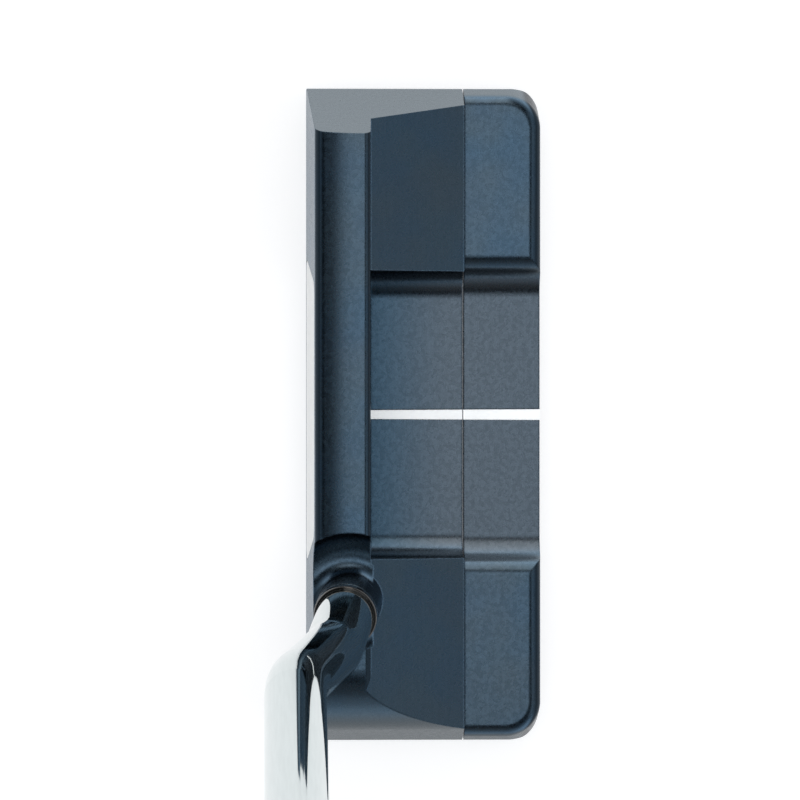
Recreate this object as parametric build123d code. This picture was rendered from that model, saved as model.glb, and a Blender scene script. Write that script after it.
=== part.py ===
"""Mallet putter with a two-tier wide-blade head, a double-bend shaft and a wrapped grip.

Millimetres. +Z is up, +Y runs from the face to the back of the head, and +X runs from the
toe to the heel, the side where the golfer stands. The origin is on the ground, on the flat
of the sole, under the sight line. Distances named "back" are measured from the leading edge.
"""
from build123d import *
from math import cos, radians, sin, sqrt, tan
import os

# Head, overall
HEAD_DEPTH = 39.2
LEADING_EDGE_Y = -19.5
TOE_X = -54.7
HEEL_X = 54.6
LOFT = 3.5
TOPLINE_Z = 25.0
SIDE_WIDE_Z = 4.6
TOE_WALL_SLOPE = 0.43
HEEL_WALL_SLOPE = 0.32
HEEL_TOP_Z = 19.4
HEEL_ROLL_R = 11.0

# Sole
SOLE_FLAT_X = 18.0
SOLE_END_RISE = 2.4
SIDE_INSET = 0.4
SIDE_R = 1.5
SOLE_EDGE_R = 1.0
SOLE_FLAT_BACK = 11.0
LEADING_EDGE_Z = 2.7
LEADING_EDGE_R = 0.8

# Topline
TOPLINE_CROWN_R = 27.0
TOPLINE_CREST_BACK = 8.8
TOPLINE_FRONT_R = 2.0
TOPLINE_REAR_BACK = 10.35
TOPLINE_REAR_R = 1.1
WALL_FOOT_BACK = 10.86

# Front tier behind the topline
BUMPER_FRONT_Z = 18.5
BUMPER_REAR_Z = 12.3
SHELF_BREAK = 0.8
SEAM_BACK = 26.2
POCKET_HALF_X = 23.8
POCKET_CORNER_R = 4.3
POCKET_FLOOR_Z = 5.0

# Rear flange
FLANGE_TOP_Z = 8.6
FLANGE_FLOOR_Z = 4.7
FLANGE_REAR_R = 2.1
FLANGE_CORNER_R = 6.0
FLANGE_STEP_LOW_X = 22.5
FLANGE_STEP_HIGH_X = 25.0
FLANGE_LOW_R = 5.0
FLANGE_STEP_FAR_X = 30.0
FLANGE_HIGH_R = 3.1
SEAM_GAP = 0.2
REAR_WIDE_Z = 3.0
REAR_UNDERCUT = 0.5
SOLE_REAR_RISE = 1.7
FLANGE_BACK_FLAT = 30.0
LUG_X = 29.0
LUG_HALF_X = 4.0
LUG_FRONT_BACK = 17.8
LUG_THICK = 3.4
LUG_GAP = 0.03
LUG_OVERLAP = 1.0

# Flange screws
SCREW_R = 1.5
SCREW_HEAD_R = 2.8
SCREW_TOP_Z = 9.0
SCREW_BACK = 21.6
SCREW_RECESS = 0.5
SCREW_SOCKET_R = 0.9
SCREW_SOCKET_DEEP = 1.2
SCREW_GAP = 0.04

# Face insert
INSERT_TOE_X = -26.3
INSERT_HEEL_X = 24.7
INSERT_LOW_Z = 4.2
INSERT_HIGH_Z = 21.7
INSERT_TOP_CORNER_R = 3.0
INSERT_END_LEAN = 4.8
INSERT_LOW_CORNER_R = 2.0
INSERT_THICK = 1.8
BACKER_THICK = 0.9
ADHESIVE_THICK = 0.1
INSERT_GAP = 0.12

# Sight line
LINE_DEEP = 0.35
LINE_FILL = 0.3
LINE_FRONT_W = 1.5
LINE_REAR_W = 1.8

# Sole weights
WEIGHT_X = 40.0
WEIGHT_BACK = 17.5
WEIGHT_HEAD_R = 6.0
WEIGHT_FACE_Z = 1.3
WEIGHT_HEAD_TOP_Z = 5.3
WEIGHT_SEAT_Z = 6.15
WEIGHT_CHAMFER = 0.3
WEIGHT_SHANK_R = 4.0
WEIGHT_TOP_Z = 11.3
WEIGHT_GAP = 0.05
WEIGHT_END_GAP = 0.2
WEIGHT_SOCKET_R = 2.1
WEIGHT_SOCKET_DEEP = 2.2
RING_INSET = 0.15

# Shaft
SHAFT_TIP_R = 4.7
SHAFT_BUTT_R = 7.4
SHAFT_WALL = 0.5
RING_X = 32.9
RING_BACK = 6.1
RING_Z = 27.0
BOSS_LEAN = 14.0
BOSS_FACE_LEAN = -0.126
FIRST_BEND_UP = 17.5
FIRST_BEND_R = 25.0
SECOND_BEND_X = 40.45
SECOND_BEND_BACK = -2.4
SECOND_BEND_Z = 78.2
SECOND_BEND_R = 30.0
LIE_LEAN = 20.5
SHAFT_IN_BOSS = 14.0
PARALLEL_AFTER_BEND = 90.0
TAPER_LENGTH = 260.0
CLUB_LENGTH = 889.0
EPOXY_THICK = 0.07
FERRULE_R = 5.2
FERRULE_HIGH = 1.7
FERRULE_EDGE_R = 0.4
BOSS_R = 5.2
FOOT_REAR_PROUD = 0.4
FOOT_X = 31.4
FOOT_BACK = 7.0
FOOT_HIGH = 4.0
FOOT_INNER_R = 2.7
FOOT_OUTER_R = 4.4
GROOVE_MIDDLE_R = 7.7
GROOVE_SKIN = 0.02
BORE_SPARE = 0.3
PLUG_LENGTH = 6.0

# Grip
GRIP_LENGTH = 265.0
GRIP_MOUTH_R = 11.4
GRIP_BUTT_R = 13.6
GRIP_TAPE_THICK = 0.35
GRIP_SKIN_THICK = 1.4
GRIP_FLAT_DEPTH = 1.6
MOUTH_RING_LENGTH = 7.0
CAP_LENGTH = 6.0
CAP_HOLE_R = 1.5
CAP_EDGE_R = 2.0
CAP_SPIGOT = 9.0
SPIGOT_GAP = 0.05
MOUTH_RING_INSET = 0.3
GRIP_CORNER_R = 3.0
STITCH_PITCH = 6.0
STITCH_R = 0.45
STITCH_LENGTH = 4.0
STITCH_SLANT = 25.0

FAR = 80.0
TOOL_Z = 40.0


def behind(back):
    """Y of a place this far behind the leading edge."""
    return LEADING_EDGE_Y + back


def yz(*points):
    """Points given as (back, z) in the plane of a cross-section."""
    return [(behind(back), z) for back, z in points]


def across(outline):
    """A slab that has this (Y, Z) cross-section all along the head."""
    return extrude(Plane.YZ * outline, amount=FAR, both=True)


def front_to_back(outline):
    """A slab that has this (X, Z) front view all through the head's depth."""
    return extrude(Plane.XZ * outline, amount=FAR, both=True)


def polygon(points):
    return make_face(Polyline(*points, close=True))


def rounded(outline, corners):
    """Fillet corners of an outline, each given as a point and a radius."""
    for point, radius in corners:
        corner = outline.vertices().sort_by_distance(point)[0]
        outline = fillet(corner, radius)
    return outline


def drum(centre, bottom, top, radius):
    """An upright cylinder between two heights."""
    x, y = centre
    return Pos(x, y, bottom) * Cylinder(radius, top - bottom, align=(Align.CENTER, Align.CENTER, Align.MIN))


def crown_z(back):
    """Height of the topline's gentle crown."""
    away = back - TOPLINE_CREST_BACK
    return TOPLINE_Z - TOPLINE_CROWN_R + sqrt(TOPLINE_CROWN_R ** 2 - away ** 2)


def face_back(z):
    """The lofted face plane, as a distance behind the leading edge."""
    return (z - LEADING_EDGE_Z) * tan(radians(LOFT))


def wall_back(z):
    """The drafted wall at the rear of the topline."""
    share = (TOPLINE_Z - z) / (TOPLINE_Z - POCKET_FLOOR_Z)
    return TOPLINE_REAR_BACK + share * (WALL_FOOT_BACK - TOPLINE_REAR_BACK)


def bumper_slope():
    """How far the bumpers fall for each millimetre towards the back."""
    return (BUMPER_FRONT_Z - BUMPER_REAR_Z) / (SEAM_BACK - wall_back(BUMPER_FRONT_Z))


def toe_wall_x(z):
    return TOE_X + TOE_WALL_SLOPE * (z - SIDE_WIDE_Z)


def heel_wall_x(z):
    return HEEL_X - HEEL_WALL_SLOPE * (z - SIDE_WIDE_Z)


def sole_edges():
    """The cambered sole from toe to heel, with its flat middle."""
    quarter = SOLE_END_RISE / 4
    toe = TOE_X + SIDE_INSET
    heel = HEEL_X - SIDE_INSET
    return [
        ThreePointArc((toe, SOLE_END_RISE), ((toe - SOLE_FLAT_X) / 2, quarter), (-SOLE_FLAT_X, 0)),
        Line((-SOLE_FLAT_X, 0), (SOLE_FLAT_X, 0)),
        ThreePointArc((SOLE_FLAT_X, 0), ((heel + SOLE_FLAT_X) / 2, quarter), (heel, SOLE_END_RISE)),
    ]


def front_view(top_points, corners):
    """The head seen from the front: cambered sole, sloped end walls and the given top, heel to toe."""
    rim = [(HEEL_X - SIDE_INSET, SOLE_END_RISE), (HEEL_X, SIDE_WIDE_Z)]
    rim += top_points
    rim += [(TOE_X, SIDE_WIDE_Z), (TOE_X + SIDE_INSET, SOLE_END_RISE)]
    outline = make_face(sole_edges() + [Polyline(*rim)])
    sides = [((HEEL_X, SIDE_WIDE_Z), SIDE_R), ((TOE_X, SIDE_WIDE_Z), SIDE_R)]
    low_corners = [(HEEL_X - SIDE_INSET, SOLE_END_RISE), (TOE_X + SIDE_INSET, SOLE_END_RISE)]
    sides += [(corner, SOLE_EDGE_R) for corner in low_corners]
    return rounded(outline, corners + sides)


def body_front_view():
    top = [
        (heel_wall_x(HEEL_TOP_Z), HEEL_TOP_Z),
        (FOOT_X, HEEL_TOP_Z),
        (FOOT_X, TOOL_Z),
        (toe_wall_x(TOOL_Z), TOOL_Z),
    ]
    return front_view(top, [(top[0], HEEL_ROLL_R)])


def body_section():
    """The front tier's cross-section: face, crowned topline, wall, sloped bumper and sole."""
    corner_z = crown_z(face_back(TOPLINE_Z))
    front = (face_back(corner_z), corner_z)
    rear = (TOPLINE_REAR_BACK, crown_z(TOPLINE_REAR_BACK))
    middle = (TOPLINE_REAR_BACK / 2, crown_z(TOPLINE_REAR_BACK / 2))
    rest = yz(
        rear,
        (wall_back(BUMPER_FRONT_Z), BUMPER_FRONT_Z),
        (SEAM_BACK, BUMPER_REAR_Z),
        (SEAM_BACK, 0),
        (SOLE_FLAT_BACK, 0),
        (0, LEADING_EDGE_Z),
        front,
    )
    crown = ThreePointArc(*yz(front, middle, rear))
    outline = make_face([Polyline(*rest), crown])
    corners = [(rest[0], TOPLINE_REAR_R), (rest[6], TOPLINE_FRONT_R), (rest[5], LEADING_EDGE_R)]
    return rounded(outline, corners)


def shelf_break():
    """The broken edge along the heel's shelf, which fades out where the shelf meets the bumper."""
    start = behind(wall_back(HEEL_TOP_Z) - SHELF_BREAK)
    heel_half = polygon([(0, 0), (FAR, 0), (FAR, TOOL_Z), (0, TOOL_Z)])
    above_shelf = Pos(0, start, 0) * (Plane.XZ * (heel_half - body_front_view()))
    slanted = extrude(above_shelf, amount=TOOL_Z, dir=Vector(0, 1, -1))
    above_bumper = yz(
        (0, BUMPER_REAR_Z + SEAM_BACK * bumper_slope()),
        (SEAM_BACK, BUMPER_REAR_Z),
        (SEAM_BACK, TOOL_Z),
        (0, TOOL_Z),
    )
    return slanted & across(polygon(above_bumper))


def centre_pocket():
    """The open middle of the front tier: upright ends with round feet, behind the topline's wall."""
    view = polygon([
        (-POCKET_HALF_X, POCKET_FLOOR_Z),
        (POCKET_HALF_X, POCKET_FLOOR_Z),
        (POCKET_HALF_X, TOOL_Z),
        (-POCKET_HALF_X, TOOL_Z),
    ])
    low = [((side * POCKET_HALF_X, POCKET_FLOOR_Z), POCKET_CORNER_R) for side in (-1, 1)]
    behind_wall = polygon(yz((wall_back(0), 0), (FAR, 0), (FAR, TOOL_Z), (wall_back(TOOL_Z), TOOL_Z)))
    return front_to_back(rounded(view, low)) & across(behind_wall)


def upright(outline, bottom, top):
    """A plan outline raised between two heights."""
    return Pos(0, 0, bottom) * extrude(outline, amount=top - bottom)


def boss_direction():
    return Vector(tan(radians(BOSS_LEAN)), BOSS_FACE_LEAN, 1).normalized()


def upper_direction():
    return Vector(sin(radians(LIE_LEAN)), 0, cos(radians(LIE_LEAN)))


def ring_top():
    return Vector(RING_X, behind(RING_BACK), RING_Z)


def second_bend():
    return Vector(SECOND_BEND_X, behind(SECOND_BEND_BACK), SECOND_BEND_Z)


def butt_end():
    """The end of the club, measured up the shaft's line from the ground."""
    from_ground = SECOND_BEND_Z / cos(radians(LIE_LEAN))
    return second_bend() + upper_direction() * (CLUB_LENGTH - from_ground)


def boss_drum(low, high, radius):
    """A cylinder on the boss axis, between two distances from the top of the ring."""
    base = Plane(ring_top() + boss_direction() * low, z_dir=boss_direction())
    return base * Cylinder(radius, high - low, align=(Align.CENTER, Align.CENTER, Align.MIN))


def butt_plane(from_end):
    """A plane square to the upper shaft, this far below the end of the club, its Y on the flat's side."""
    side = Vector(0, 1, 0)
    return Plane(butt_end() - upper_direction() * from_end, x_dir=side, z_dir=upper_direction())


def butt_drum(from_end, length, radius):
    """A cylinder on the upper shaft that ends this far below the end of the club."""
    base = butt_plane(from_end + length)
    return base * Cylinder(radius, length, align=(Align.CENTER, Align.CENTER, Align.MIN))


def between_face_and_wall(proud):
    """A slab from the face to proud behind the topline's wall, on every side but those two."""
    low, high = 0, 2 * HEEL_TOP_Z
    corners = yz(
        (face_back(low), low),
        (wall_back(low) + proud, low),
        (wall_back(high) + proud, high),
        (face_back(high), high),
    )
    return across(polygon(corners))


def boss_foot():
    """A low round block around the boss, which the groove's inner side turns into a concave foot."""
    block = Cylinder(GROOVE_MIDDLE_R, FOOT_HIGH, align=(Align.CENTER, Align.CENTER, Align.MIN))
    placed = Pos(FOOT_X, behind(FOOT_BACK), HEEL_TOP_Z + FOOT_INNER_R - FOOT_HIGH) * block
    return placed & between_face_and_wall(FOOT_REAR_PROUD)


def boss_groove():
    """The round-bottomed groove between the topline's heel end and the boss."""
    floor = HEEL_TOP_Z + GROOVE_SKIN
    inner = GROOVE_MIDDLE_R - FOOT_INNER_R
    outer = GROOVE_MIDDLE_R + FOOT_OUTER_R
    foot_top = floor + FOOT_INNER_R
    foot = [(0, foot_top), (inner, foot_top), (inner, floor)]
    outline = polygon(foot + [(outer, floor), (outer, TOOL_Z), (0, TOOL_Z)])
    profile = rounded(outline, [((inner, floor), FOOT_INNER_R - GROOVE_SKIN), ((outer, floor), FOOT_OUTER_R)])
    return Pos(FOOT_X, behind(FOOT_BACK), 0) * revolve(Plane.XZ * profile, Axis.Z)


def face_slab(shallow, deep):
    """The layer between two depths behind the lofted face."""
    low, high = -TOOL_Z, TOOL_Z
    corners = [
        (face_back(low) + shallow, low),
        (face_back(low) + deep, low),
        (face_back(high) + deep, high),
        (face_back(high) + shallow, high),
    ]
    return across(polygon(yz(*corners)))


def insert_view(grow):
    """The insert's outline seen from the front, grown on every side."""
    left, right = INSERT_TOE_X - grow, INSERT_HEEL_X + grow
    low, high = INSERT_LOW_Z - grow, INSERT_HIGH_Z + grow
    top_left, top_right = left + INSERT_END_LEAN, right - INSERT_END_LEAN
    outline = polygon([(left, low), (right, low), (top_right, high), (top_left, high)])
    corners = [((left, low), INSERT_LOW_CORNER_R), ((right, low), INSERT_LOW_CORNER_R)]
    corners += [((top_left, high), INSERT_TOP_CORNER_R), ((top_right, high), INSERT_TOP_CORNER_R)]
    return front_to_back(rounded(outline, corners))


def insert_layers():
    """Insert, backing plate and bonding film, from the face inwards."""
    depth = 0
    layers = {}
    for node, thick in (
        ("face_insert", INSERT_THICK),
        ("insert_backer", BACKER_THICK),
        ("insert_adhesive", ADHESIVE_THICK),
    ):
        layers[node] = insert_view(0) & face_slab(depth, depth + thick)
        depth += thick
    return layers


def insert_pocket():
    return insert_view(INSERT_GAP) & face_slab(-FAR, INSERT_THICK + BACKER_THICK + ADHESIVE_THICK)


def weight_centre(side):
    return (side * WEIGHT_X, behind(WEIGHT_BACK))


def weight_pocket(side):
    centre = weight_centre(side)
    head = drum(centre, -TOOL_Z, WEIGHT_SEAT_Z, WEIGHT_HEAD_R + WEIGHT_GAP)
    return head + drum(centre, 0, WEIGHT_TOP_Z + WEIGHT_END_GAP, WEIGHT_SHANK_R + WEIGHT_GAP)


def weight(side):
    """A screw-in weight with a hexagon socket in its face."""
    centre = weight_centre(side)
    head = drum(centre, WEIGHT_FACE_Z, WEIGHT_HEAD_TOP_Z, WEIGHT_HEAD_R)
    head = chamfer(head.edges().group_by(Axis.Z)[0], WEIGHT_CHAMFER)
    body = head + drum(centre, WEIGHT_FACE_Z, WEIGHT_TOP_Z, WEIGHT_SHANK_R)
    socket = Pos(*centre, WEIGHT_FACE_Z) * extrude(RegularPolygon(WEIGHT_SOCKET_R, 6), amount=WEIGHT_SOCKET_DEEP)
    return body - socket


def weight_ring(side):
    """The captive rubber ring that lies on the weight's shoulder."""
    centre = weight_centre(side)
    low = WEIGHT_HEAD_TOP_Z + WEIGHT_GAP
    high = WEIGHT_SEAT_Z - WEIGHT_GAP
    outside = drum(centre, low, high, WEIGHT_HEAD_R - RING_INSET)
    return outside - drum(centre, low, high, WEIGHT_SHANK_R + WEIGHT_GAP)


def lug_block(side, grow):
    """A foot of the rear flange that reaches under the front of the head."""
    centre_x = side * LUG_X
    half = LUG_HALF_X + grow
    front = behind(LUG_FRONT_BACK - grow)
    rear = behind(SEAM_BACK + LUG_OVERLAP)
    outline = polygon([
        (centre_x - half, front),
        (centre_x + half, front),
        (centre_x + half, rear),
        (centre_x - half, rear),
    ])
    return upright(outline, -TOOL_Z, LUG_THICK + grow)


def screw_centre(side):
    return (side * LUG_X, behind(SCREW_BACK))


def screw(side, grow):
    """A countersunk screw, or its hole when grown."""
    centre = screw_centre(side)
    sink_top = SCREW_RECESS + SCREW_HEAD_R - SCREW_R
    cone = Pos(*centre, SCREW_RECESS) * Cone(
        SCREW_HEAD_R + grow, SCREW_R + grow, sink_top - SCREW_RECESS, align=(Align.CENTER, Align.CENTER, Align.MIN)
    )
    return cone + drum(centre, SCREW_RECESS, SCREW_TOP_Z + grow, SCREW_R + grow)


def screws():
    both = []
    for side in (-1, 1):
        socket = Pos(*screw_centre(side), SCREW_RECESS) * extrude(
            RegularPolygon(SCREW_SOCKET_R, 6), amount=SCREW_SOCKET_DEEP
        )
        both.append(screw(side, 0) - socket)
    return Compound(children=both)


def screw_hole(side):
    return screw(side, SCREW_GAP) + drum(screw_centre(side), -TOOL_Z, SCREW_RECESS, SCREW_HEAD_R + SCREW_GAP)


def line_outline():
    """The sight line in plan: it widens a little towards the back."""
    front = behind(wall_back(POCKET_FLOOR_Z))
    rear = behind(HEAD_DEPTH)
    return polygon([
        (-LINE_FRONT_W / 2, front),
        (LINE_FRONT_W / 2, front),
        (LINE_REAR_W / 2, rear),
        (-LINE_REAR_W / 2, rear),
    ])


def line_layer(floor, low, high):
    return upright(line_outline(), floor - low, floor + high)


def head_body():
    """The milled front of the head, with everything that is cut into it."""
    body = across(body_section()) & front_to_back(body_front_view())
    body -= shelf_break()
    body += boss_foot()
    body -= boss_groove()
    body -= centre_pocket()
    body += boss_drum(-SHAFT_IN_BOSS, -FERRULE_HIGH, BOSS_R)
    body -= boss_drum(-SHAFT_IN_BOSS - BORE_SPARE, FAR, SHAFT_TIP_R + EPOXY_THICK)
    body -= insert_pocket()
    for side in (-1, 1):
        body -= weight_pocket(side)
        body -= lug_block(side, LUG_GAP)
        body -= screw(side, SCREW_GAP)
    return body - line_layer(POCKET_FLOOR_Z, LINE_DEEP, TOOL_Z)


def flange_front_view():
    """The rear flange's blank seen from the front, with a flat top."""
    top = [(heel_wall_x(FLANGE_TOP_Z), FLANGE_TOP_Z), (toe_wall_x(FLANGE_TOP_Z), FLANGE_TOP_Z)]
    return front_view(top, [])


def flange_trough():
    """The low middle of the flange: S-shaped steps on both sides of a flat floor."""
    points = [
        (-FLANGE_STEP_FAR_X, FLANGE_TOP_Z),
        (-FLANGE_STEP_HIGH_X, FLANGE_TOP_Z),
        (-FLANGE_STEP_LOW_X, FLANGE_FLOOR_Z),
        (FLANGE_STEP_LOW_X, FLANGE_FLOOR_Z),
        (FLANGE_STEP_HIGH_X, FLANGE_TOP_Z),
        (FLANGE_STEP_FAR_X, FLANGE_TOP_Z),
        (FLANGE_STEP_FAR_X, TOOL_Z),
        (-FLANGE_STEP_FAR_X, TOOL_Z),
    ]
    corners = [(points[1], FLANGE_HIGH_R), (points[2], FLANGE_LOW_R)]
    corners += [(points[3], FLANGE_LOW_R), (points[4], FLANGE_HIGH_R)]
    return front_to_back(rounded(polygon(points), corners))


def flange_section():
    """The flange's cross-section: flat top, slightly undercut back and a sole that rises at the rear."""
    points = yz(
        (SEAM_BACK + SEAM_GAP, -TOOL_Z),
        (SEAM_BACK + SEAM_GAP, TOOL_Z),
        (HEAD_DEPTH, TOOL_Z),
        (HEAD_DEPTH, REAR_WIDE_Z),
        (HEAD_DEPTH - REAR_UNDERCUT, SOLE_REAR_RISE),
        (FLANGE_BACK_FLAT, 0),
        (FLANGE_BACK_FLAT, -TOOL_Z),
    )
    return rounded(polygon(points), [(points[4], SOLE_EDGE_R)])


def flange_outline(z):
    """Plan outline of the flange at one height, with its two rounded rear corners."""
    front, rear = behind(SEAM_BACK), behind(HEAD_DEPTH)
    toe, heel = toe_wall_x(z), heel_wall_x(z)
    outline = polygon([(toe, front), (heel, front), (heel, rear), (toe, rear)])
    corners = [((heel, rear), FLANGE_CORNER_R), ((toe, rear), FLANGE_CORNER_R)]
    return Pos(0, 0, z) * rounded(outline, corners)


def flange_plan():
    """A block whose ends and rear corners follow the slope of the end walls."""
    return loft([flange_outline(0), flange_outline(2 * FLANGE_TOP_Z)], ruled=True)


def flange_blank():
    """The flange before its trough, with a rolled rim around its flat top."""
    blank = across(flange_section()) & front_to_back(flange_front_view()) & flange_plan()
    top = blank.faces().sort_by(Axis.Z)[-1]
    rim = [edge for edge in top.edges() if edge.center().Y > behind(SEAM_BACK + 2 * SEAM_GAP)]
    return fillet(rim, FLANGE_REAR_R)


def rear_flange():
    """The rear tier, with the two feet that the screws pass through."""
    flange = flange_blank() - flange_trough()
    feet = front_to_back(flange_front_view())
    for side in (-1, 1):
        flange += lug_block(side, 0) & feet
        flange -= screw_hole(side)
    return flange - line_layer(FLANGE_FLOOR_Z, LINE_DEEP, TOOL_Z)


def sight_lines():
    """Paint that fills the groove, as one piece on each tier."""
    front_span = across(polygon(yz((0, 0), (SEAM_BACK, 0), (SEAM_BACK, TOOL_Z), (0, TOOL_Z))))
    front = line_layer(POCKET_FLOOR_Z, LINE_DEEP, LINE_FILL - LINE_DEEP) & front_span
    rear = line_layer(FLANGE_FLOOR_Z, LINE_DEEP, LINE_FILL - LINE_DEEP) & across(flange_section())
    return {"sight_line_front": front, "sight_line_rear": rear}


def shaft_path():
    """The double bend's centre line, from inside the boss to the parallel stretch above it."""
    low = ring_top() - boss_direction() * SHAFT_IN_BOSS
    first = ring_top() + boss_direction() * FIRST_BEND_UP
    high = second_bend() + upper_direction() * PARALLEL_AFTER_BEND
    return FilletPolyline(low, first, second_bend(), high, radius=[FIRST_BEND_R, SECOND_BEND_R])


def shaft_form(wall_in):
    """The shaft's outside, or its inside when reduced by the wall."""
    tip = SHAFT_TIP_R - wall_in
    butt = SHAFT_BUTT_R - wall_in
    start = Plane(ring_top() - boss_direction() * SHAFT_IN_BOSS, z_dir=boss_direction())
    form = sweep(start * Circle(tip), path=shaft_path())
    taper_start = second_bend() + upper_direction() * PARALLEL_AFTER_BEND
    base = Plane(taper_start, x_dir=Vector(0, 1, 0), z_dir=upper_direction())
    form += base * Cone(tip, butt, TAPER_LENGTH, align=(Align.CENTER, Align.CENTER, Align.MIN))
    remaining = (butt_end() - taper_start).length - TAPER_LENGTH - CAP_LENGTH
    return form + butt_drum(CAP_LENGTH, remaining, butt)


def shaft_ring():
    """The glossy ring that hides the joint between boss and shaft."""
    ring = boss_drum(-FERRULE_HIGH, 0, FERRULE_R)
    ring = fillet(ring.edges().filter_by(GeomType.CIRCLE), FERRULE_EDGE_R)
    return ring - boss_drum(-FERRULE_HIGH, 0, SHAFT_TIP_R)


def shaft_epoxy():
    sleeve = boss_drum(-SHAFT_IN_BOSS, -FERRULE_HIGH, SHAFT_TIP_R + EPOXY_THICK)
    return sleeve - boss_drum(-SHAFT_IN_BOSS, -FERRULE_HIGH, SHAFT_TIP_R)


def shaft_plug():
    return boss_drum(-SHAFT_IN_BOSS, PLUG_LENGTH - SHAFT_IN_BOSS, SHAFT_TIP_R - SHAFT_WALL)


def grip_outline(from_end, shrink):
    """The grip's section: round, with a flat where the thumbs rest."""
    share = from_end / GRIP_LENGTH
    radius = GRIP_BUTT_R + share * (GRIP_MOUTH_R - GRIP_BUTT_R) - shrink
    flat = radius - GRIP_FLAT_DEPTH
    outline = Circle(radius) - Pos(0, flat + radius) * Rectangle(4 * radius, 2 * radius)
    outline = fillet(outline.vertices(), GRIP_CORNER_R)
    return butt_plane(from_end) * outline


def grip_form(low, high, shrink):
    """The tapered grip body between two distances from the end of the club."""
    return loft([grip_outline(low, shrink), grip_outline(high, shrink)])


def tape_hole(low, high):
    return butt_drum(low, high - low, SHAFT_BUTT_R + GRIP_TAPE_THICK)


def grip_pieces():
    """Tape, foam core, skin, mouth collar and butt cap."""
    mouth = GRIP_LENGTH - MOUTH_RING_LENGTH
    shaft_hole = butt_drum(0, GRIP_LENGTH, SHAFT_BUTT_R)
    core = grip_form(CAP_LENGTH, mouth, GRIP_SKIN_THICK)
    skin = grip_form(CAP_LENGTH, mouth, 0) - core
    cap = grip_form(0, CAP_LENGTH, 0)
    cap = fillet(cap.faces().sort_by_distance(butt_end())[0].edges(), CAP_EDGE_R)
    cap += butt_drum(CAP_LENGTH, CAP_SPIGOT, SHAFT_BUTT_R - SHAFT_WALL - SPIGOT_GAP)
    return {
        "grip_tape": tape_hole(CAP_LENGTH, mouth) - shaft_hole,
        "grip_core": core - tape_hole(CAP_LENGTH, mouth),
        "grip_skin": skin,
        "grip_mouth_ring": grip_form(mouth, GRIP_LENGTH, MOUTH_RING_INSET) - shaft_hole,
        "grip_cap": cap - butt_drum(0, CAP_LENGTH + CAP_SPIGOT, CAP_HOLE_R),
    }


def stitches():
    """The seam's thread: slanted stitches in a row along the back of the grip."""
    first = CAP_LENGTH + STITCH_PITCH
    count = int((GRIP_LENGTH - MOUTH_RING_LENGTH - first) / STITCH_PITCH)
    row = []
    for index in range(count):
        from_end = first + index * STITCH_PITCH
        share = from_end / GRIP_LENGTH
        radius = GRIP_BUTT_R + share * (GRIP_MOUTH_R - GRIP_BUTT_R)
        slant = STITCH_SLANT if index % 2 else -STITCH_SLANT
        place = butt_plane(from_end) * Pos(0, -radius, 0) * Rot(0, 90 + slant, 0)
        row.append(place * Cylinder(STITCH_R, STITCH_LENGTH))
    return Compound(children=row)


def model():
    nodes = {"head_body": head_body(), "rear_flange": rear_flange(), "flange_screws": screws()}
    nodes.update(insert_layers())
    nodes.update(sight_lines())
    for name, side in (("toe", -1), ("heel", 1)):
        nodes[name + "_weight"] = weight(side)
        nodes[name + "_weight_ring"] = weight_ring(side)
    nodes["shaft_ring"] = shaft_ring()
    nodes["shaft_epoxy"] = shaft_epoxy()
    nodes["shaft_plug"] = shaft_plug()
    nodes["shaft"] = shaft_form(0) - shaft_form(SHAFT_WALL)
    nodes.update(grip_pieces())
    nodes["grip_stitching"] = stitches()
    return nodes


def main():
    os.makedirs("parts", exist_ok=True)
    for node, shape in model().items():
        export_step(shape, "parts/" + node + ".step")


main()
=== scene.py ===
import math

import bpy
from mathutils import Matrix, Vector


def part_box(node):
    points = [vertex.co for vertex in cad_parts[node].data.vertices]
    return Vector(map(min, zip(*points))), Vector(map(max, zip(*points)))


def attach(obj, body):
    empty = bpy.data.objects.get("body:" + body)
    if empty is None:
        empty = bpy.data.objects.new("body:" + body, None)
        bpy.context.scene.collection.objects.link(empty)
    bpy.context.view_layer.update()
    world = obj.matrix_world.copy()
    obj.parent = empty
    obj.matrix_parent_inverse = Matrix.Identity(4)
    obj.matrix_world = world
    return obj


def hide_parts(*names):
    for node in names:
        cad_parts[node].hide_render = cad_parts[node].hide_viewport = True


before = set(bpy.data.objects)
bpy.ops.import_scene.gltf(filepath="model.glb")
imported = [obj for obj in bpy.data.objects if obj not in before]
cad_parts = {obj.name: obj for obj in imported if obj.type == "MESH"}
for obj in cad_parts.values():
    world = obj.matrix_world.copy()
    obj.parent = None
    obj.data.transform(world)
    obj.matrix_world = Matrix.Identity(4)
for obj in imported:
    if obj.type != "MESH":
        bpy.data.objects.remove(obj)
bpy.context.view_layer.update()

MM = 0.001

# Camera: almost straight down on the head, with the toe at the top of the picture. The lens and the
# sensor are in millimetres, the nearest and farthest limits in metres.
CAMERA_PLACE = Vector((-2.44, -26.9, 738.0)) * MM
CAMERA_TARGET = Vector((-2.44, -3.9, 10.0)) * MM
TOE_WARD = Vector((-1, 0, 0))
LENS = 196.9
SENSOR = 36.0
NEAREST = 0.05
FARTHEST = 30.0

# Floor and sky: metres, colours, and bands of the sky by the height of the direction, from 0 to 1
FLOOR_HALF = 6.0
FLOOR_COLOUR = (0.4, 0.4, 0.405)
FLOOR_ROUGHNESS = 0.85
FLOOR_GLOW = 0.7
GLOW_COLOUR = (0.98, 0.99, 1.0)
SKY_DARK = (0.012, 0.014, 0.016)
SKY_MIDDLE = (0.2, 0.215, 0.23)
SKY_PALE = (0.8, 0.82, 0.84)
SKY_BANDS = ((0.10, SKY_PALE), (0.34, SKY_MIDDLE), (0.46, SKY_MIDDLE), (0.68, SKY_DARK))

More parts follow.
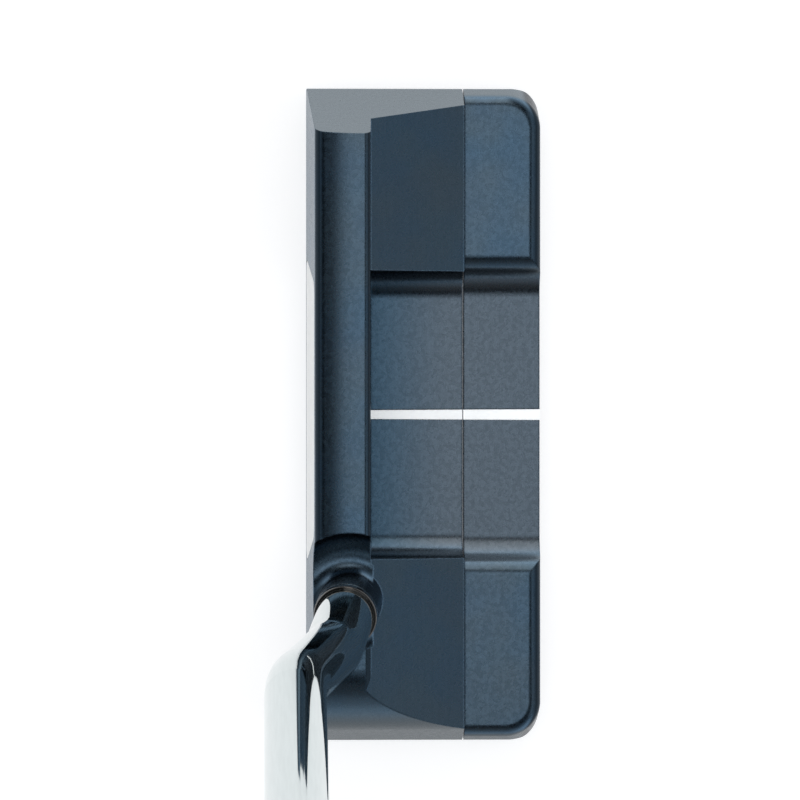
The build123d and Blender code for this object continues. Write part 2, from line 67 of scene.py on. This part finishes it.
# Soft boxes that show in reflections: place and size in metres, power in watts, colour
WHITE = (1.0, 1.0, 1.0)
WARM = (1.0, 0.9, 0.82)
WARMER = (1.0, 0.85, 0.75)
BOXES = {
    "box_above": ((-0.1, 0.02, 1.6), (0.8, 0.72), 1.3, WHITE),
    "box_toe": ((-1.05, 0.0, 0.72), (0.42, 1.3), 1.9, WARM),
    "box_heel": ((1.05, 0.0, 0.72), (0.5, 1.3), 0.2, WARMER),
    "box_back": ((0.0, 1.1, 1.15), (1.6, 0.5), 0.7, WHITE),
}

# Fill light, which no reflection shows: one lamp above and one on each side, in metres and watts
ABOVE_HEIGHT = 3.0
ABOVE_SIZE = (3.0, 3.0)
ABOVE_POWER = 27.0
SIDE_DISTANCE = 2.2
SIDE_HEIGHT = 1.5
SIDE_SIZE = (2.5, 2.0)
SIDE_POWER = 20.0
SIDES = {"front": (0, -1), "back": (0, 1), "toe": (-1, 0), "heel": (1, 0)}

# Noise: octaves and roughness, and the range that holds most of its values
NOISE_DETAIL = 2.0
NOISE_ROUGH = 0.5
FINE_DETAIL = 3.0
FINE_ROUGH = 0.6
NOISE_LOW = 0.3
NOISE_HIGH = 0.7

# Sockets of the Mix node when it mixes colours
MIX_FACTOR = 0
MIX_A = 6
MIX_B = 7
MIX_RESULT = 2

# Navy finish of the head: colours
NAVY = (0.13, 0.21, 0.29)
NAVY_BLUE = (0.085, 0.19, 0.33)
NAVY_GREY = (0.16, 0.2, 0.235)
# Painted reflection: the greyer tone of end walls that face toe or heel
NAVY_SIDE_REFLECTION = (0.19, 0.225, 0.25)
# Painted shade on the pocket's floor: dark next to the wall at its front, lighter at its rear
NAVY_POCKET_SHADE = (0.085, 0.16, 0.24)
NAVY_POCKET_LIT = (0.175, 0.23, 0.29)
NAVY_EDGE = (0.78, 0.79, 0.8, 1.0)

# Navy finish: roughness, and the sizes, shares and depths of its clouds, grain and cutter marks
NAVY_ROUGHNESS = 0.27
NAVY_ROUGHNESS_SPREAD = 0.03
ROUGHNESS_PATCH_SIZE = 0.8
CLOUD_SIZE = 9.0
CLOUD_SHARE = 0.4
PATCH_SIZE = 14.0
PATCH_STRETCH = (1, 1.6, 1)
PATCH_LOW = 0.35
PATCH_SHARE = 0.3
MILLED_GRAIN = 0.16
MILLED_DEPTH = 0.003
BLASTED_GRAIN = 0.18
BLASTED_DEPTH = 0.004
NAVY_GRAIN_ROUGH = 0.7
GRAIN_CONTRAST = 0.2
CUTTER_WIDTH = 0.22
CUTTER_STRETCH = (60, 1, 1)
CUTTER_DEPTH = 0.0006
CUTTER_CONTRAST = 0.03
EDGE_BREAK = 0.35
BEVEL_SAMPLES = 6

# Navy finish: brightness of the painted shade on rounded edges, upright faces and heel slopes, as shares of
# the plain coat
WALL_SHADE = 0.13
FACE_SHADE = 0.75
HEEL_SHADE = 0.42

# Where those begin and end, as shares of a face's own direction along one axis
FLAT_LOW = 0.93
FLAT_HIGH = 0.975
END_WALL_LOW = 0.6
END_WALL_HIGH = 0.9
ROUNDED_LOW = 0.4
ROUNDED_HIGH = 0.65
UPRIGHT_LOW = 0.93
UPRIGHT_HIGH = 0.985
HEEL_SLOPE_LOW = 0.3
HEEL_SLOPE_HIGH = 0.85

# The pocket's floor, with painted shade that runs from dark next to the wall at its front to pale at its
# rear: millimetres in the frame
POCKET_FRONT_Y = -9.0
POCKET_REAR_Y = 6.0
POCKET_LOW_Z = 5.4
POCKET_HIGH_Z = 6.4

# Grip's outline, as in the CAD model: millimetres, and degrees from upright
SHAFT_LEAN = 20.5
GRIP_LENGTH = 265.0
CAP_LENGTH = 6.0
MOUTH_RING_LENGTH = 7.0
GRIP_BUTT_R = 13.6
GRIP_MOUTH_R = 11.4
GRIP_FLAT_DEPTH = 1.6
GRIP_SKIN_THICK = 1.4

# How softly the flat joins the round, in millimetres, and the sine of the angle below which it never shows
FLAT_BLEND = 1.2
FLAT_SIDE = 0.1

# Middle of the grip's tape in the frame, in metres, and how far it lies below the club's end
TAPE_MIDDLE = (Vector(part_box("grip_tape")[0]) + Vector(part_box("grip_tape")[1])) / 2
TAPE_FROM_END = (CAP_LENGTH + GRIP_LENGTH - MOUTH_RING_LENGTH) / 2

# Points round and along the grip's skin
SKIN_AROUND = 216
SKIN_ALONG = 420

# Moulded diamonds, and the seam with its plain strip: millimetres, and radians round the grip
DIAMONDS_AROUND = 22
DIAMOND_PITCH = 3.6
DIAMOND_DEEP = 0.3
DIAMOND_GROOVE = 0.45
PLAIN_END = 7.0
SEAM_ANGLE = 1.5 * math.pi
SEAM_PLAIN = 0.26
SEAM_PLAIN_FADE = 1.3
SEAM_DEEP = 0.45
SEAM_HALF = 0.55

# Stitches over the seam, in millimetres, and the steps, sides and roundness of their thread
STITCH_PITCH = 3.0
STITCH_REACH = 1.7
STITCH_RUN = 1.3
STITCH_ARCH = 0.22
THREAD_R = 0.26
THREAD_SINK = 0.6
THREAD_SINK_POWER = 4
THREAD_STEPS = 10
THREAD_SIDES = 8
THREAD_TIP = 0.02
THREAD_TIP_POWER = 6

# Chrome: colours, roughness, and sizes in millimetres of its polishing lines and smudges
CHROME = (0.655, 0.705, 0.705)
CHROME_LINE = (0.63, 0.68, 0.68)
CHROME_ROUGHNESS = 0.035
CHROME_LINE_WIDTH = 0.5
CHROME_LINE_STRETCH = (4, 1, 60)
CHROME_LINE_DEPTH = 0.00005
SMUDGE_SIZE = 16.0
SMUDGE_LOW = 0.45
SMUDGE_HIGH = 0.75
SMUDGE_GAIN = 1.6

# Finishes with an even grain: colour, grain's size and depth in millimetres, metallic share, roughness
GRAINED = {
    "screw_steel": ((0.3, 0.31, 0.33), 0.3, 0.0008, 1.0, 0.35),
    "insert_white": ((0.73, 0.74, 0.74), 0.25, 0.006, 0.0, 0.42),
    "backer_aluminium": ((0.7, 0.7, 0.72), 0.4, 0.01, 1.0, 0.4),
    "adhesive": ((0.5, 0.5, 0.46), 0.6, 0.02, 0.0, 0.6),
    "line_paint": ((0.92, 0.95, 0.97), 0.5, 0.004, 0.0, 0.35),
    "weight_steel": ((0.42, 0.43, 0.45), 0.3, 0.0006, 1.0, 0.28),
    "seal_rubber": ((0.02, 0.02, 0.022), 0.4, 0.02, 0.0, 0.7),
    "plug_plastic": ((0.05, 0.05, 0.055), 0.5, 0.01, 0.0, 0.5),
    "tape": ((0.75, 0.73, 0.68), 0.6, 0.02, 0.0, 0.7),
    "foam": ((0.1, 0.1, 0.11), 0.5, 0.05, 0.0, 0.9),
    "grip_skin": ((0.018, 0.027, 0.045), 0.5, 0.05, 0.0, 0.55),
    "thread": ((0.55, 0.56, 0.58), 0.3, 0.03, 0.0, 0.75),
    "grip_rubber": ((0.015, 0.016, 0.018), 0.5, 0.03, 0.0, 0.65),
}

# Tool marks of the sole weights, moulded grooves of the insert and twist of the thread, in millimetres
WEIGHT_PITCH = 0.3
WEIGHT_MARK_DEPTH = 0.002
INSERT_PITCH = 0.9
INSERT_GROOVE_DEPTH = 0.012
TWIST_PITCH = 0.35
TWIST_DEPTH = 0.04

# Paint of the sight line, and its painted glow
PAINT_GLOW = 0.22
PAINT_GLOW_COLOUR = (0.9, 0.95, 1.0)

# Glossy ring at the foot of the shaft
RING_BLACK = (0.004, 0.0035, 0.003)
RING_ROUGHNESS = 0.1
RING_IOR = 1.9
RING_GRAIN = 0.5
RING_EDGE_BREAK = 0.3

# How far fine grain changes the colour and the roughness
GRAIN_DARK = 0.92
GRAIN_LIGHT = 1.06
GRAIN_LOW = 0.25
GRAIN_HIGH = 0.75
ROUGHNESS_GRAIN = 6
ROUGHNESS_SPREAD = 0.15


class Finish:
    """A node material around one Principled shader, with helpers that add procedural detail."""

    def __init__(self, name, colour, **sockets):
        """Starts as one plain colour. Each socket is named with an underscore for a space."""
        self.material = bpy.data.materials.new(name)
        self.material.use_nodes = True
        self.tree = self.material.node_tree
        self.shader = self.tree.nodes["Principled BSDF"]
        self.shader.inputs["Base Color"].default_value = (*colour, 1.0)
        for socket, value in sockets.items():
            self.shader.inputs[socket.replace("_", " ")].default_value = value
        self.place = self.tree.nodes.new("ShaderNodeTexCoord").outputs["Object"]
        self.normal = None

    def node(self, kind, inputs=None, **settings):
        """A new node with its settings made and its inputs linked or filled."""
        made = self.tree.nodes.new(kind)
        for key, value in settings.items():
            setattr(made, key, value)
        for key, value in (inputs or {}).items():
            socket = made.inputs[key]
            if isinstance(value, bpy.types.NodeSocket):
                self.tree.links.new(value, socket)
            else:
                socket.default_value = value
        return made

    def stretched(self, scale):
        """Object coordinates in millimetres, scaled along each axis."""
        factor = [s / MM for s in scale]
        return self.node("ShaderNodeMapping", {"Vector": self.place, "Scale": factor}).outputs[0]

    def noise(self, size, detail=NOISE_DETAIL, rough=NOISE_ROUGH, stretch=(1, 1, 1)):
        """Noise from 0 to 1 with features of about size millimetres."""
        vector = self.stretched([1 / (size * s) for s in stretch])
        inputs = {"Vector": vector, "Scale": 1.0, "Detail": detail, "Roughness": rough}
        return self.node("ShaderNodeTexNoise", inputs).outputs["Fac"]

    def ramp(self, value, low, high, out_low=0.0, out_high=1.0):
        """The first output up to low, the second from high on, and a smooth change between them."""
        inputs = {"Value": value, "From Min": low, "From Max": high, "To Min": out_low, "To Max": out_high}
        return self.node("ShaderNodeMapRange", inputs, interpolation_type="SMOOTHSTEP").outputs["Result"]

    def math(self, operation, a, b=0.0):
        """The result of one sum, product or other operation on a and b."""
        return self.node("ShaderNodeMath", {0: a, 1: b}, operation=operation).outputs[0]

    def mix(self, factor, a, b):
        """Colour a where factor is 0 and colour b where it is 1."""
        a, b = (c if isinstance(c, bpy.types.NodeSocket) else (*c, 1.0) for c in (a, b))
        inputs = {MIX_FACTOR: factor, MIX_A: a, MIX_B: b}
        return self.node("ShaderNodeMix", inputs, data_type="RGBA").outputs[MIX_RESULT]

    def spread(self, noise, out_low, out_high):
        """Noise turned into values that mostly fill the range from out_low to out_high."""
        return self.ramp(noise, NOISE_LOW, NOISE_HIGH, out_low, out_high)

    def waves(self, distance, pitch):
        """A wave from -1 to 1 that repeats every pitch millimetres of distance."""
        return self.math("SINE", self.math("MULTIPLY", distance, math.tau / pitch))

    def axis(self, name):
        """One coordinate of the surface point, in millimetres."""
        parts = self.node("ShaderNodeSeparateXYZ", {0: self.place})
        return self.math("MULTIPLY", parts.outputs[name], 1 / MM)

    def facing(self):
        """The surface's own direction, as X, Y and Z shares from -1 to 1."""
        direction = self.tree.nodes.new("ShaderNodeTexCoord").outputs["Normal"]
        return self.node("ShaderNodeSeparateXYZ", {0: direction}).outputs

    def colour(self, value):
        """Links a node's output to the shader's base colour."""
        self.tree.links.new(value, self.shader.inputs["Base Color"])

    def roughness(self, value):
        """Links a node's output to the shader's roughness."""
        self.tree.links.new(value, self.shader.inputs["Roughness"])

    def bump(self, height, depth):
        """Raises the surface by depth millimetres where height is 1."""
        inputs = {"Height": height, "Distance": depth * MM, "Strength": 1.0}
        if self.normal is not None:
            inputs["Normal"] = self.normal
        self.normal = self.node("ShaderNodeBump", inputs).outputs["Normal"]
        self.tree.links.new(self.normal, self.shader.inputs["Normal"])

    def round_edges(self, radius):
        """Shades sharp edges as if they were broken by radius millimetres."""
        made = self.node("ShaderNodeBevel", {"Radius": radius * MM}, samples=BEVEL_SAMPLES)
        self.normal = made.outputs["Normal"]
        self.tree.links.new(self.normal, self.shader.inputs["Normal"])


def navy_tint(f, facing):
    """Cloudy navy, with painted shade over the pocket's floor that runs from dark at its front wall to pale
    at its rear, and a greyer painted reflection on end walls.
    """
    cloud = f.noise(CLOUD_SIZE)
    tint = f.mix(f.spread(cloud, 0.0, CLOUD_SHARE), NAVY, NAVY_BLUE)
    patch = f.noise(PATCH_SIZE, stretch=PATCH_STRETCH)
    tint = f.mix(f.ramp(patch, PATCH_LOW, NOISE_HIGH, 0.0, PATCH_SHARE), tint, NAVY_GREY)
    # painted shade: the pocket's floor darker next to the wall at its front
    in_pocket = f.ramp(f.axis("Z"), POCKET_LOW_Z, POCKET_HIGH_Z, 1.0, 0.0)
    rearward = f.ramp(f.axis("Y"), POCKET_FRONT_Y, POCKET_REAR_Y)
    tint = f.mix(in_pocket, tint, f.mix(rearward, NAVY_POCKET_SHADE, NAVY_POCKET_LIT))
    # painted reflection: end walls that face toe or heel turn greyer
    end_wall_reflection = f.ramp(f.math("ABSOLUTE", facing["X"]), END_WALL_LOW, END_WALL_HIGH)
    return f.mix(end_wall_reflection, tint, NAVY_SIDE_REFLECTION)


def navy_painted_shade(f, facing):
    """Painted shade by surface direction: rounded edges that face front or back darkened, upright faces
    less so, and slopes that face the heel darkened.
    """
    level = f.math("ABSOLUTE", facing["Y"])
    rounded = f.ramp(level, ROUNDED_LOW, ROUNDED_HIGH, 1.0, WALL_SHADE)
    upright = f.ramp(level, UPRIGHT_LOW, UPRIGHT_HIGH, 0.0, FACE_SHADE - WALL_SHADE)
    front_back = f.math("ADD", rounded, upright)
    heel_side = f.ramp(facing["X"], HEEL_SLOPE_LOW, HEEL_SLOPE_HIGH, 1.0, HEEL_SHADE)
    return f.math("MULTIPLY", front_back, heel_side)


def navy_finish(name, grain, depth):
    """Dark blue metal coating: blasted on the flats, finely milled on the slopes and walls, with painted
    shade and painted reflection by surface direction.
    """
    f = Finish(name, NAVY, Metallic=1.0, Roughness=NAVY_ROUGHNESS, Specular_Tint=NAVY_EDGE)
    f.round_edges(EDGE_BREAK)
    facing = f.facing()
    tint = navy_tint(f, facing)
    flat = f.ramp(f.math("ABSOLUTE", facing["Z"]), FLAT_LOW, FLAT_HIGH)
    fine = f.noise(grain, FINE_DETAIL, NAVY_GRAIN_ROUGH)
    cutter = f.noise(CUTTER_WIDTH, NOISE_DETAIL, FINE_ROUGH, CUTTER_STRETCH)
    specks = f.math("MULTIPLY", f.spread(fine, -GRAIN_CONTRAST, GRAIN_CONTRAST), flat)
    lines = f.spread(cutter, 1 - CUTTER_CONTRAST, 1 + CUTTER_CONTRAST)
    # painted shade by surface direction, times the grain and cutter marks
    shade = f.math("MULTIPLY", navy_painted_shade(f, facing), f.math("ADD", specks, lines))
    f.colour(f.node("ShaderNodeVectorMath", {0: tint, "Scale": shade}, operation="SCALE").outputs["Vector"])
    smoothest = NAVY_ROUGHNESS - NAVY_ROUGHNESS_SPREAD
    roughest = NAVY_ROUGHNESS + NAVY_ROUGHNESS_SPREAD
    f.roughness(f.spread(f.noise(ROUGHNESS_PATCH_SIZE), smoothest, roughest))
    f.bump(f.math("MULTIPLY", fine, flat), depth)
    f.bump(cutter, CUTTER_DEPTH)
    return f.material


def tint_grain(f, colour, size):
    """Varies a finish's colour and roughness with fine grain, and gives the grain back as noise."""
    fine = f.noise(size, FINE_DETAIL, FINE_ROUGH)
    dark = tuple(GRAIN_DARK * c for c in colour)
    light = tuple(min(1.0, GRAIN_LIGHT * c) for c in colour)
    f.colour(f.mix(f.ramp(fine, GRAIN_LOW, GRAIN_HIGH), dark, light))
    base = f.shader.inputs["Roughness"].default_value
    patches = f.noise(ROUGHNESS_GRAIN * size)
    f.roughness(f.spread(patches, base * (1 - ROUGHNESS_SPREAD), min(1.0, base * (1 + ROUGHNESS_SPREAD))))
    return fine


def grained(name):
    """A finish of the GRAINED table, with its grain in colour, roughness and height."""
    colour, size, depth, metallic, roughness = GRAINED[name]
    f = Finish(name, colour, Metallic=metallic, Roughness=roughness)
    f.bump(tint_grain(f, colour, size), depth)
    return f


def ring_gloss():
    """Polished black plastic with a brownish cast and softly broken edges."""
    f = Finish("ring_gloss", RING_BLACK, Roughness=RING_ROUGHNESS, IOR=RING_IOR)
    tint_grain(f, RING_BLACK, RING_GRAIN)
    f.round_edges(RING_EDGE_BREAK)
    return f.material


def insert_white():
    """White moulded polymer with faint level grooves across the face."""
    f = grained("insert_white")
    f.bump(f.waves(f.axis("Z"), INSERT_PITCH), INSERT_GROOVE_DEPTH)
    return f.material


def line_paint():
    """Thick bright paint with a little painted glow, which brightens it beyond the lamps' light."""
    f = grained("line_paint")
    # painted light: the paint glows though it is no lamp
    f.shader.inputs["Emission Color"].default_value = (*PAINT_GLOW_COLOUR, 1.0)
    f.shader.inputs["Emission Strength"].default_value = PAINT_GLOW
    return f.material


def weight_steel():
    """Turned steel: fine circular tool marks round each weight, which lie equally far from X = 0."""
    f = grained("weight_steel")
    low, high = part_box("heel_weight")
    centre = (Vector(low) + Vector(high)) / (2 * MM)
    from_x = f.math("SUBTRACT", f.math("ABSOLUTE", f.axis("X")), centre.x)
    from_y = f.math("SUBTRACT", f.axis("Y"), centre.y)
    squares = f.math("ADD", f.math("POWER", from_x, 2.0), f.math("POWER", from_y, 2.0))
    f.bump(f.waves(f.math("SQRT", squares), WEIGHT_PITCH), WEIGHT_MARK_DEPTH)
    return f.material


def shaft_chrome():
    """Chrome plate: faint polishing lines along the shaft and handling smudges in its roughness."""
    f = Finish("shaft_chrome", CHROME, Metallic=1.0, Roughness=CHROME_ROUGHNESS)
    lines = f.noise(CHROME_LINE_WIDTH, stretch=CHROME_LINE_STRETCH)
    f.colour(f.mix(f.spread(lines, 0.0, 1.0), CHROME, CHROME_LINE))
    smudge = f.noise(SMUDGE_SIZE, FINE_DETAIL, FINE_ROUGH)
    f.roughness(f.ramp(smudge, SMUDGE_LOW, SMUDGE_HIGH, CHROME_ROUGHNESS, SMUDGE_GAIN * CHROME_ROUGHNESS))
    f.bump(lines, CHROME_LINE_DEPTH)
    return f.material


def thread():
    """Waxed thread with a fine twist."""
    f = grained("thread")
    f.bump(f.waves(f.math("ADD", f.axis("Z"), f.axis("Y")), TWIST_PITCH), TWIST_DEPTH)
    return f.material


FINISHES = {
    "navy_milled": navy_finish("navy_milled", MILLED_GRAIN, MILLED_DEPTH),
    "navy_blasted": navy_finish("navy_blasted", BLASTED_GRAIN, BLASTED_DEPTH),
    "insert_white": insert_white(),
    "line_paint": line_paint(),
    "weight_steel": weight_steel(),
    "ring_gloss": ring_gloss(),
    "shaft_chrome": shaft_chrome(),
    "thread": thread(),
}
for plain in GRAINED:
    if plain not in FINISHES:
        FINISHES[plain] = grained(plain).material

NODE_SLOTS = {
    "head_body": "navy_milled",
    "rear_flange": "navy_blasted",
    "flange_screws": "screw_steel",
    "face_insert": "insert_white",
    "insert_backer": "backer_aluminium",
    "insert_adhesive": "adhesive",
    "sight_line_front": "line_paint",
    "sight_line_rear": "line_paint",
    "toe_weight": "weight_steel",
    "heel_weight": "weight_steel",
    "toe_weight_ring": "seal_rubber",
    "heel_weight_ring": "seal_rubber",
    "shaft_ring": "ring_gloss",
    "shaft_epoxy": "adhesive",
    "shaft_plug": "plug_plastic",
    "shaft": "shaft_chrome",
    "grip_tape": "tape",
    "grip_core": "foam",
    "grip_skin": "grip_skin",
    "grip_mouth_ring": "grip_rubber",
    "grip_cap": "grip_rubber",
    "grip_stitching": "thread",
}


def dress_nodes():
    """Gives every CAD node its finish."""
    for name, slot in NODE_SLOTS.items():
        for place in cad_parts[name].material_slots:
            place.material = FINISHES[slot]


def mesh_piece(name, points, faces, slot, *replaced):
    """A smooth-shaded piece that rides on the putter and stands for the CAD nodes named."""
    mesh = bpy.data.meshes.new(name)
    mesh.from_pydata(points, [], faces)
    mesh.materials.append(FINISHES[slot])
    mesh.polygons.foreach_set("use_smooth", [True] * len(mesh.polygons))
    mesh.update()
    piece = bpy.data.objects.new(name, mesh)
    bpy.context.scene.collection.objects.link(piece)
    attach(piece, "putter")
    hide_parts(*replaced)
    return piece


def smooth_step(value, low, high):
    """0 up to low, 1 from high on, and a smooth rise between them."""
    share = min(1.0, max(0.0, (value - low) / (high - low)))
    return share * share * (3 - 2 * share)


def grip_place(from_end, angle, radius):
    """A point of the grip, from its distance below the club's end, its angle and its radius."""
    lean = math.radians(SHAFT_LEAN)
    along = Vector((math.sin(lean), 0, math.cos(lean)))
    across = Vector((0, 1, 0))
    to_flat = along.cross(across)
    outward = across * math.cos(angle) + to_flat * math.sin(angle)
    return TAPE_MIDDLE + (along * (TAPE_FROM_END - from_end) + outward * radius) * MM


def grip_radius(from_end, angle):
    """Radius of the tapered grip, which is round with a softly joined flat."""
    round_r = GRIP_BUTT_R + from_end / GRIP_LENGTH * (GRIP_MOUTH_R - GRIP_BUTT_R)
    if math.sin(angle) < FLAT_SIDE:
        return round_r
    flat_r = (round_r - GRIP_FLAT_DEPTH) / math.sin(angle)
    near = max(0.0, 1 - abs(round_r - flat_r) / FLAT_BLEND)
    return min(round_r, flat_r) - near * near * FLAT_BLEND / 4


def skin_recess(from_end, angle):
    """Depth of the grip's moulded diamonds and of the seam down its back."""
    turns = angle / math.tau * DIAMONDS_AROUND
    rows = from_end / DIAMOND_PITCH
    groove = min(abs(math.sin(math.pi * (turns + rows))), abs(math.sin(math.pi * (turns - rows))))
    off_seam = abs(angle - SEAM_ANGLE)
    plain = smooth_step(off_seam, SEAM_PLAIN, SEAM_PLAIN * SEAM_PLAIN_FADE)
    for end in (CAP_LENGTH, GRIP_LENGTH - MOUTH_RING_LENGTH):
        plain *= smooth_step(abs(from_end - end), PLAIN_END, PLAIN_END + DIAMOND_PITCH / 2)
    diamonds = DIAMOND_DEEP * (1 - smooth_step(groove, 0, DIAMOND_GROOVE)) * plain
    seam = SEAM_DEEP * math.exp(-(off_seam * GRIP_BUTT_R / SEAM_HALF) ** 2)
    return diamonds + seam


def grip_skin():
    """The grip's wrap as one closed shell, moulded with diamonds and sewn down the back."""
    first, last = CAP_LENGTH, GRIP_LENGTH - MOUTH_RING_LENGTH
    angles = [math.tau * k / SKIN_AROUND for k in range(SKIN_AROUND)]
    points = []
    for row in range(SKIN_ALONG + 1):
        from_end = first + (last - first) * row / SKIN_ALONG
        for angle in angles:
            radius = grip_radius(from_end, angle) - skin_recess(from_end, angle)
            points.append(grip_place(from_end, angle, radius))
    for from_end in (last, first):
        for angle in angles:
            points.append(grip_place(from_end, angle, grip_radius(from_end, angle) - GRIP_SKIN_THICK))
    rows = len(points) // SKIN_AROUND
    faces = []
    for row in range(rows):
        for k in range(SKIN_AROUND):
            after = (k + 1) % SKIN_AROUND
            low, high = row * SKIN_AROUND, (row + 1) % rows * SKIN_AROUND
            faces.append((low + k, low + after, high + after, high + k))
    mesh_piece("grip_wrap", points, faces, "grip_skin", "grip_skin")


def stitch(from_end, slant):
    """One stitch over the seam: a bent thread whose ends dip into the skin."""
    rings = []
    for step in range(THREAD_STEPS + 1):
        share = 2 * step / THREAD_STEPS - 1
        place = from_end + slant * share * STITCH_RUN / 2
        angle = SEAM_ANGLE + share * STITCH_REACH / grip_radius(place, SEAM_ANGLE)
        radius = grip_radius(place, SEAM_ANGLE) + STITCH_ARCH - THREAD_SINK * share ** THREAD_SINK_POWER
        thick = THREAD_R * math.sqrt(max(THREAD_TIP, 1 - abs(share) ** THREAD_TIP_POWER))
        ring = []
        for side in range(THREAD_SIDES):
            turn = math.tau * side / THREAD_SIDES
            ring.append(grip_place(place + thick * math.cos(turn), angle, radius + thick * math.sin(turn)))
        rings.append(ring)
    return rings


def grip_seam():
    """The row of slanted stitches along the grip's seam."""
    points = []
    faces = []
    first = CAP_LENGTH + STITCH_PITCH
    count = int((GRIP_LENGTH - MOUTH_RING_LENGTH - first) / STITCH_PITCH)
    for index in range(count):
        rings = stitch(first + index * STITCH_PITCH, 1 if index % 2 else -1)
        start = len(points)
        for ring in rings:
            points += ring
        faces.append(tuple(start + side for side in reversed(range(THREAD_SIDES))))
        for step in range(THREAD_STEPS):
            for side in range(THREAD_SIDES):
                low = start + step * THREAD_SIDES
                after = (side + 1) % THREAD_SIDES
                high = low + THREAD_SIDES
                faces.append((low + side, low + after, high + after, high + side))
        faces.append(tuple(start + THREAD_STEPS * THREAD_SIDES + side for side in range(THREAD_SIDES)))
    mesh_piece("seam_stitches", points, faces, "thread", "grip_stitching")


def floor():
    """The pale floor that the putter stands on, which also gives off light of its own."""
    mesh = bpy.data.meshes.new("floor")
    h = FLOOR_HALF
    mesh.from_pydata([(-h, -h, 0), (h, -h, 0), (h, h, 0), (-h, h, 0)], [], [(0, 1, 2, 3)])
    plane = bpy.data.objects.new("floor", mesh)
    bpy.context.scene.collection.objects.link(plane)
    f = Finish("floor", FLOOR_COLOUR, Roughness=FLOOR_ROUGHNESS)
    f.shader.inputs["Emission Color"].default_value = (*GLOW_COLOUR, 1.0)
    f.shader.inputs["Emission Strength"].default_value = FLOOR_GLOW
    mesh.materials.append(f.material)


def area_light(name, place, size, power, colour=WHITE, glossy=True):
    """A soft box of size (width, height) metres that faces the head, seen in reflections if glossy."""
    data = bpy.data.lights.new(name, "AREA")
    data.shape = "RECTANGLE"
    data.size, data.size_y = size
    data.energy = power
    data.color = colour
    light = bpy.data.objects.new(name, data)
    light.location = place
    light.rotation_euler = (-Vector(place)).to_track_quat("-Z", "Y").to_euler()
    light.visible_glossy = glossy
    bpy.context.scene.collection.objects.link(light)


def lights():
    """The fill lamps and the soft boxes."""
    area_light("fill_above", (0.0, 0.0, ABOVE_HEIGHT), ABOVE_SIZE, ABOVE_POWER, glossy=False)
    for side, (x, y) in SIDES.items():
        place = (SIDE_DISTANCE * x, SIDE_DISTANCE * y, SIDE_HEIGHT)
        area_light("fill_" + side, place, SIDE_SIZE, SIDE_POWER, glossy=False)
    for name, (place, size, power, colour) in BOXES.items():
        area_light(name, place, size, power, colour)


def sky():
    """A sky in soft bands, pale low down and dark overhead."""
    world = bpy.data.worlds.new("studio")
    world.use_nodes = True
    bpy.context.scene.world = world
    tree = world.node_tree
    direction = tree.nodes.new("ShaderNodeTexCoord")
    parts = tree.nodes.new("ShaderNodeSeparateXYZ")
    tree.links.new(direction.outputs["Generated"], parts.inputs[0])
    ramp = tree.nodes.new("ShaderNodeValToRGB")
    tree.links.new(parts.outputs["Z"], ramp.inputs["Fac"])
    bands = ramp.color_ramp.elements
    while len(bands) < len(SKY_BANDS):
        bands.new(1.0)
    for band, (height, colour) in zip(bands, SKY_BANDS):
        band.position = height
        band.color = (*colour, 1)
    tree.links.new(ramp.outputs["Color"], tree.nodes["Background"].inputs["Color"])


def camera():
    """The camera, with the putter's toe at the top of the picture."""
    data = bpy.data.cameras.new("camera")
    data.lens = LENS
    data.sensor_width = SENSOR
    data.clip_start = NEAREST
    data.clip_end = FARTHEST
    made = bpy.data.objects.new("camera", data)
    back = (CAMERA_PLACE - CAMERA_TARGET).normalized()
    right = TOE_WARD.cross(back).normalized()
    turn = Matrix((right, back.cross(right), back)).transposed().to_4x4()
    made.matrix_world = Matrix.Translation(CAMERA_PLACE) @ turn
    bpy.context.scene.collection.objects.link(made)
    bpy.context.scene.camera = made


bpy.context.scene.view_settings.view_transform = "Standard"
dress_nodes()
grip_skin()
grip_seam()
floor()
lights()
sky()
camera()
